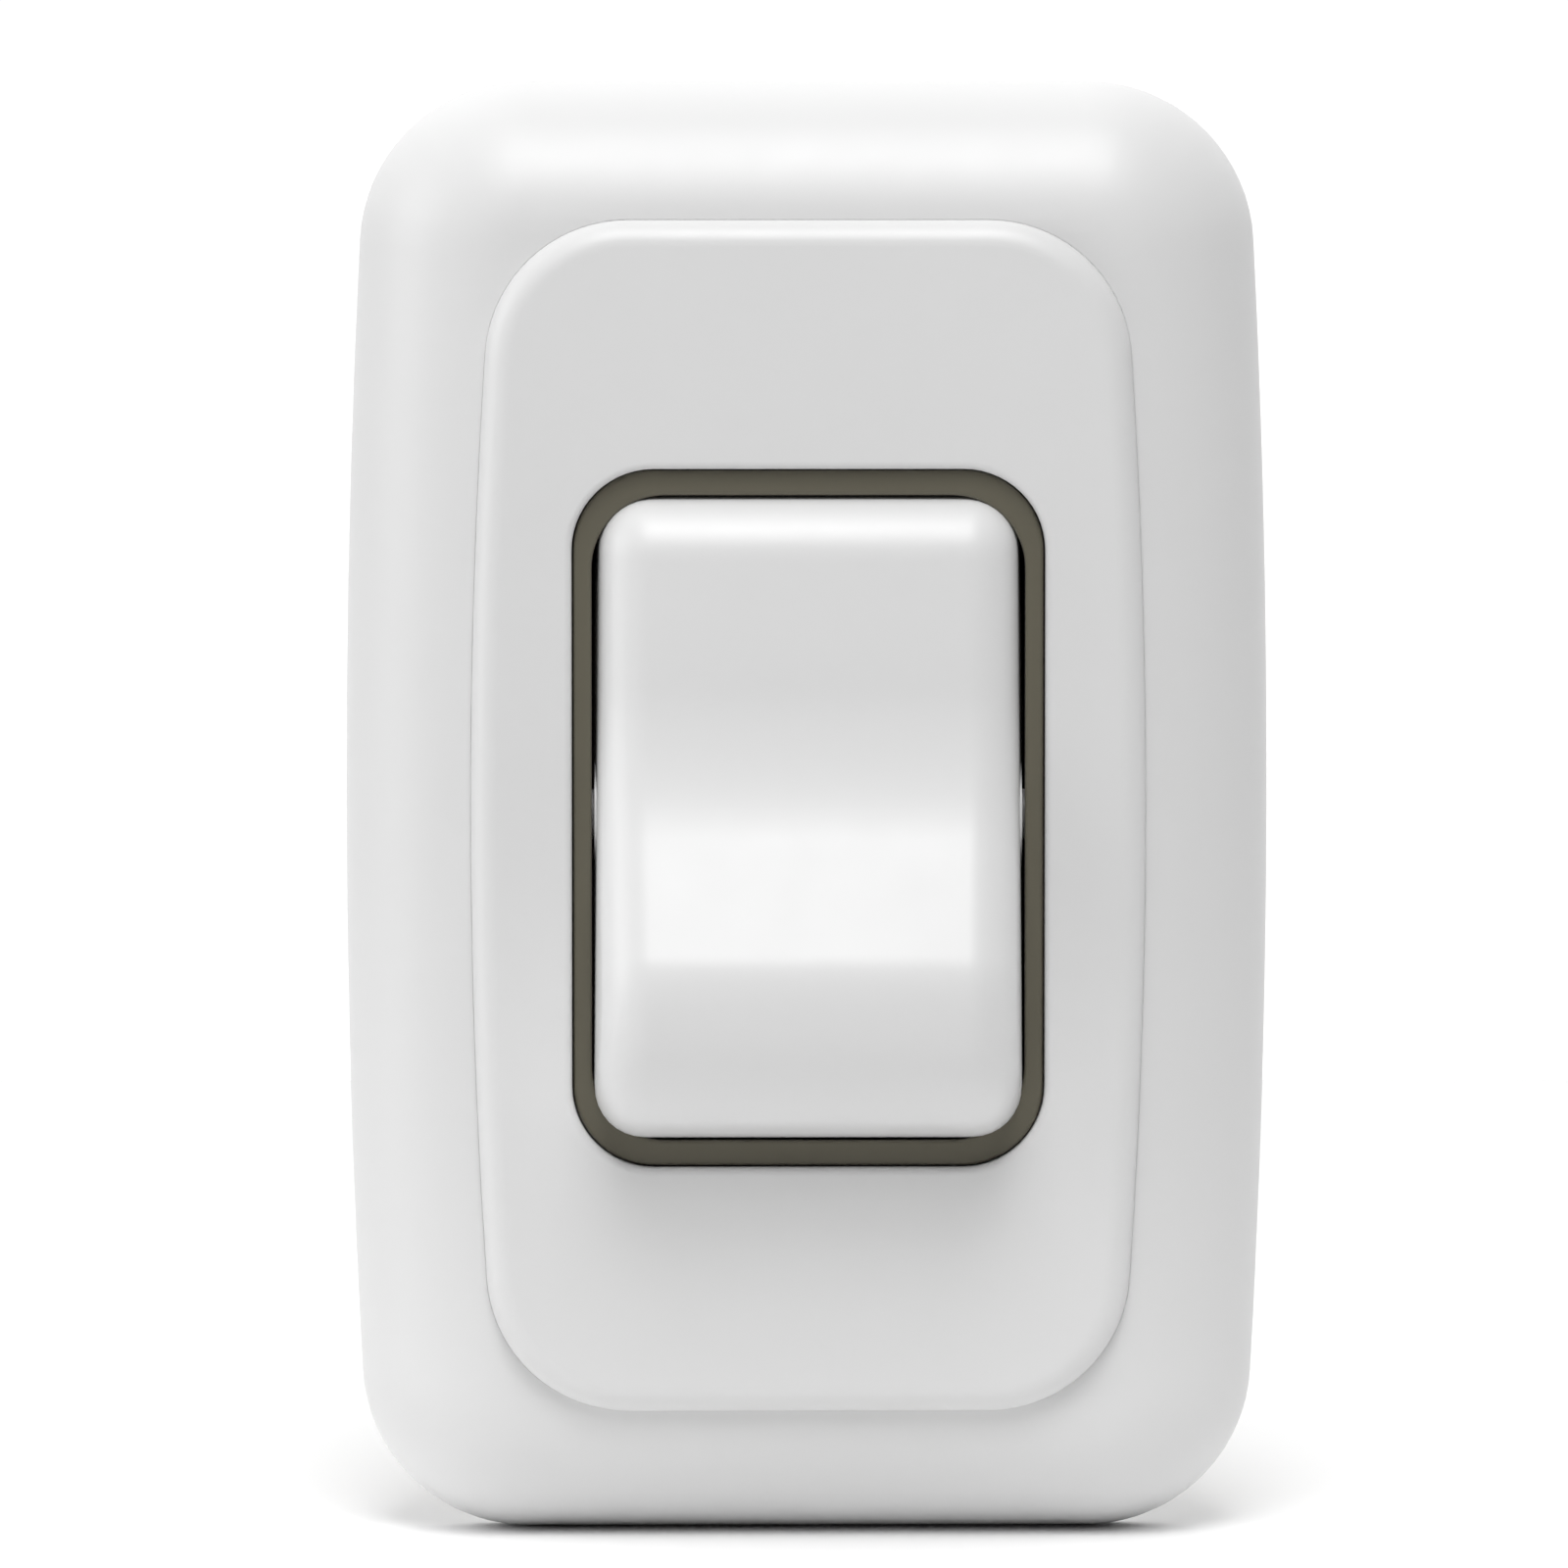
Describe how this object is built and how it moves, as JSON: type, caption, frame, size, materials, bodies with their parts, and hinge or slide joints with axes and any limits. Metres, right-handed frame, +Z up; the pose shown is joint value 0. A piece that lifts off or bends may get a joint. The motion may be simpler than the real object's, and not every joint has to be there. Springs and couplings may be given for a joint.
{
  "type": "rocker wall switch",
  "caption": "Contoured wall switch for low-voltage lighting: domed base plate, clip-on face plate and a maintained on-off rocker with a dark rim.",
  "frame": {"origin": "middle of the base plate's back plane, where the switch meets the wall", "axes": "+X to the right, +Y into the wall, +Z up"},
  "size_m": [0.0444, 0.0355, 0.0698],
  "materials": {
    "white_cover": "satin",
    "white_rocker": "satin",
    "taupe_case": "satin",
    "black_block": "matt",
    "natural_acetal": "satin",
    "brass": "rolled",
    "contact_silver": "satin",
    "zinc_steel": "bright zinc",
    "spring_steel": "drawn"
  },
  "bodies": {
    "housing": {"base_plate": "white_cover", "face_plate": "white_cover", "mounting_screws": "zinc_steel", "switch_frame": "taupe_case", "terminal_block": "black_block", "common_terminal": "brass", "load_terminal": "brass", "fixed_contact": "contact_silver"},
    "rocker_body": {"rocker": "white_rocker"},
    "plunger_body": {"plunger": "natural_acetal", "plunger_spring": "spring_steel"},
    "lever_body": {"contact_lever": "brass", "moving_contact": "contact_silver"}
  },
  "joints": [
    {"name": "rocker_hinge", "type": "hinge", "parent": "housing", "child": "rocker_body", "pos_m": [0, -0.0056, 0], "axis": [1, 0, 0], "range_deg": [0, 18]},
    {"name": "plunger_slide", "type": "slide", "parent": "rocker_body", "child": "plunger_body", "axis": [0, 0.9877, -0.1564], "range_m": [-0.0006, 0.00025], "stiffness_N_per_m": 300, "deforming": ["plunger_spring"]},
    {"name": "lever_hinge", "type": "hinge", "parent": "housing", "child": "lever_body", "pos_m": [0, 0.0059, 0], "axis": [1, 0, 0], "range_deg": [-12, 0]}
  ],
  "couplings": [
    {"joint": "lever_hinge", "follows": "rocker_hinge", "ratio": -0.66667}
  ]
}
